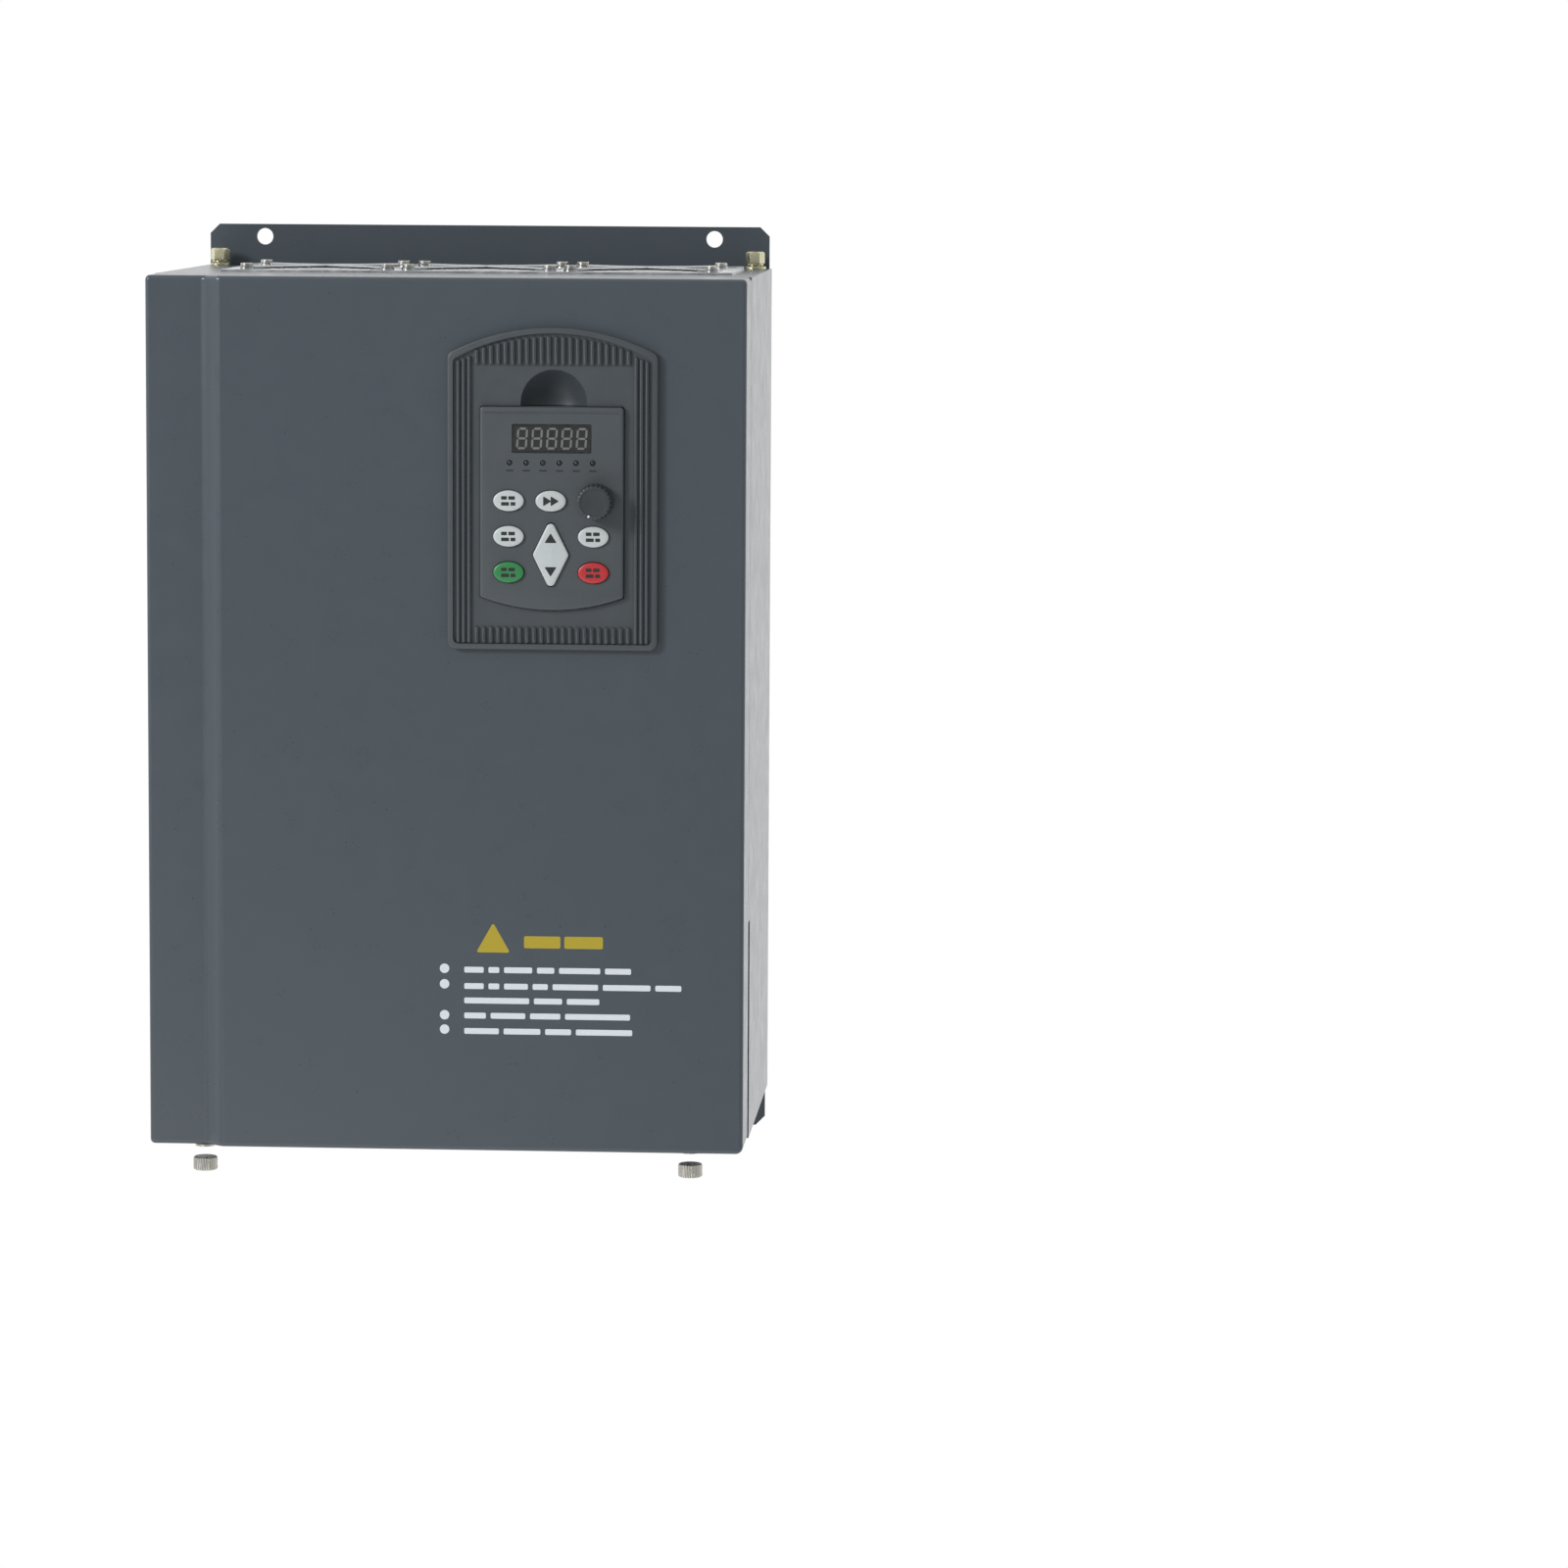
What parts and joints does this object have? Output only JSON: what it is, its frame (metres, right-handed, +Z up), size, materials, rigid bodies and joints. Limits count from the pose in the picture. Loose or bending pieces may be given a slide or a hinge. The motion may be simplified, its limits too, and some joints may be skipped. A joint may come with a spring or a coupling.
{
  "type": "variable frequency drive",
  "caption": "Wall-mounted variable frequency drive in a folded steel case with a pull-out keypad, a removable front cover and fans on top.",
  "frame": {"origin": "centre of the four wall holes, on the back face of the rear panel", "axes": "+X to the right seen from the front, +Y into the wall, +Z up"},
  "size_m": [0.276, 0.2162, 0.442],
  "materials": {
    "case_paint": "satin dark grey powder coat",
    "zinc_plate": "bright zinc",
    "yellow_zinc": "yellow zinc passivated",
    "nickel": "nickel plated",
    "chrome_wire": "bright",
    "black_plastic": "fine moulded",
    "tray_plastic": "fine moulded",
    "keypad_plastic": "fine moulded",
    "knob_plastic": "fine moulded",
    "white_key": "satin",
    "green_key": "satin",
    "red_key": "satin",
    "window_film": "smoked",
    "aluminium": "extruded",
    "copper": "tinned edges",
    "circuit_board": "solder mask",
    "capacitor_sleeve": "shrink sleeve",
    "module_epoxy": "filled epoxy",
    "terminal_plastic": "glass filled",
    "connector_plastic": "moulded",
    "ferrite": "ferrite and tape",
    "ribbon": "flat cable",
    "rubber": "soft",
    "led_lens": "diffused",
    "relay_case": "moulded"
  },
  "bodies": {
    "chassis": {"air_baffles": "zinc_plate", "board_standoffs": "zinc_plate", "bottom_panel": "case_paint", "bus_capacitors": "capacitor_sleeve", "busbars": "copper", "cable_grommets": "rubber", "clinch_nuts": "zinc_plate", "control_board": "circuit_board", "control_connectors": "connector_plastic", "control_shield": "zinc_plate", "current_sensors": "black_plastic", "earth_studs": "yellow_zinc", "fan_frame_left": "black_plastic", "fan_frame_middle": "black_plastic", "fan_frame_right": "black_plastic", "fan_screws": "zinc_plate", "fan_tray": "zinc_plate", "finger_guard_left": "chrome_wire", "finger_guard_middle": "chrome_wire", "finger_guard_right": "chrome_wire", "heatsink": "aluminium", "left_side_panel": "case_paint", "main_terminal_block": "terminal_plastic", "power_board": "circuit_board", "power_modules": "module_epoxy", "rear_panel": "case_paint", "ribbon_cable": "ribbon", "right_side_panel": "case_paint", "soft_start_relay": "relay_case", "switching_transformer": "ferrite", "terminal_screws": "zinc_plate", "top_hex_bolts": "yellow_zinc", "top_panel": "case_paint"},
    "cover": {"front_cover": "case_paint", "keypad_tray": "tray_plastic", "tray_socket": "black_plastic"},
    "keypad": {"keypad_front": "keypad_plastic", "keypad_back": "keypad_plastic", "keypad_board": "circuit_board", "led_display": "black_plastic", "display_window": "window_film", "status_leds": "led_lens", "tact_switches": "black_plastic", "potentiometer": "black_plastic", "keypad_plug": "black_plastic"},
    "key_menu": {"key_menu": "white_key"},
    "key_shift": {"key_shift": "white_key"},
    "key_enter": {"key_enter": "white_key"},
    "key_jog": {"key_jog": "white_key"},
    "key_run": {"key_run": "green_key"},
    "key_stop": {"key_stop": "red_key"},
    "key_up_down": {"key_up_down": "white_key"},
    "knob": {"knob": "knob_plastic"},
    "impeller_left": {"impeller_left": "black_plastic"},
    "impeller_middle": {"impeller_middle": "black_plastic"},
    "impeller_right": {"impeller_right": "black_plastic"},
    "thumb_washer_left": {"thumb_washer_left": "nickel"},
    "thumb_screw_left": {"thumb_screw_left": "nickel"},
    "thumb_washer_right": {"thumb_washer_right": "nickel"},
    "thumb_screw_right": {"thumb_screw_right": "nickel"}
  },
  "joints": [
    {"name": "cover_slide", "type": "slide", "parent": "chassis", "child": "cover", "axis": [0, -1, 0], "range_m": [0, 0.12]},
    {"name": "keypad_slide", "type": "slide", "parent": "cover", "child": "keypad", "axis": [0, -1, 0], "range_m": [0, 0.03]},
    {"name": "key_menu_press", "type": "slide", "parent": "keypad", "child": "key_menu", "axis": [0, 1, 0], "range_m": [0, 0.0007], "stiffness_N_per_m": 600, "springref_m": -0.0008},
    {"name": "key_shift_press", "type": "slide", "parent": "keypad", "child": "key_shift", "axis": [0, 1, 0], "range_m": [0, 0.0007], "stiffness_N_per_m": 600, "springref_m": -0.0008},
    {"name": "key_enter_press", "type": "slide", "parent": "keypad", "child": "key_enter", "axis": [0, 1, 0], "range_m": [0, 0.0007], "stiffness_N_per_m": 600, "springref_m": -0.0008},
    {"name": "key_jog_press", "type": "slide", "parent": "keypad", "child": "key_jog", "axis": [0, 1, 0], "range_m": [0, 0.0007], "stiffness_N_per_m": 600, "springref_m": -0.0008},
    {"name": "key_run_press", "type": "slide", "parent": "keypad", "child": "key_run", "axis": [0, 1, 0], "range_m": [0, 0.0007], "stiffness_N_per_m": 600, "springref_m": -0.0008},
    {"name": "key_stop_press", "type": "slide", "parent": "keypad", "child": "key_stop", "axis": [0, 1, 0], "range_m": [0, 0.0007], "stiffness_N_per_m": 600, "springref_m": -0.0008},
    {"name": "key_up_down_rock", "type": "hinge", "parent": "keypad", "child": "key_up_down", "pos_m": [0.0494, -0.2022, 0.0755], "axis": [1, 0, 0], "range_deg": [-2.5, 2.5], "stiffness_Nm_per_rad": 0.28},
    {"name": "knob_turn", "type": "hinge", "parent": "keypad", "child": "knob", "pos_m": [0.0698, -0.2, 0.1], "axis": [0, 1, 0], "range_deg": [0, 290]},
    {"name": "impeller_left_spin", "type": "hinge", "parent": "chassis", "child": "impeller_left", "pos_m": [-0.068, -0.092, 0.18], "axis": [0, 0, 1], "continuous": true},
    {"name": "impeller_middle_spin", "type": "hinge", "parent": "chassis", "child": "impeller_middle", "pos_m": [0.008, -0.092, 0.18], "axis": [0, 0, 1], "continuous": true},
    {"name": "impeller_right_spin", "type": "hinge", "parent": "chassis", "child": "impeller_right", "pos_m": [0.084, -0.092, 0.18], "axis": [0, 0, 1], "continuous": true},
    {"name": "thumb_screw_left_advance", "type": "slide", "parent": "chassis", "child": "thumb_washer_left", "axis": [0, 0, -1], "range_m": [0, 0.0016]},
    {"name": "thumb_screw_left_turn", "type": "hinge", "parent": "thumb_washer_left", "child": "thumb_screw_left", "pos_m": [-0.113, -0.188, -0.201], "axis": [0, 0, -1], "range_deg": [0, 720]},
    {"name": "thumb_screw_right_advance", "type": "slide", "parent": "chassis", "child": "thumb_washer_right", "axis": [0, 0, -1], "range_m": [0, 0.0016]},
    {"name": "thumb_screw_right_turn", "type": "hinge", "parent": "thumb_washer_right", "child": "thumb_screw_right", "pos_m": [0.113, -0.188, -0.201], "axis": [0, 0, -1], "range_deg": [0, 720]}
  ],
  "couplings": [
    {"joint": "thumb_screw_left_turn", "follows": "thumb_screw_left_advance", "rad_per_m": 7853.9},
    {"joint": "thumb_screw_right_turn", "follows": "thumb_screw_right_advance", "rad_per_m": 7853.9}
  ]
}
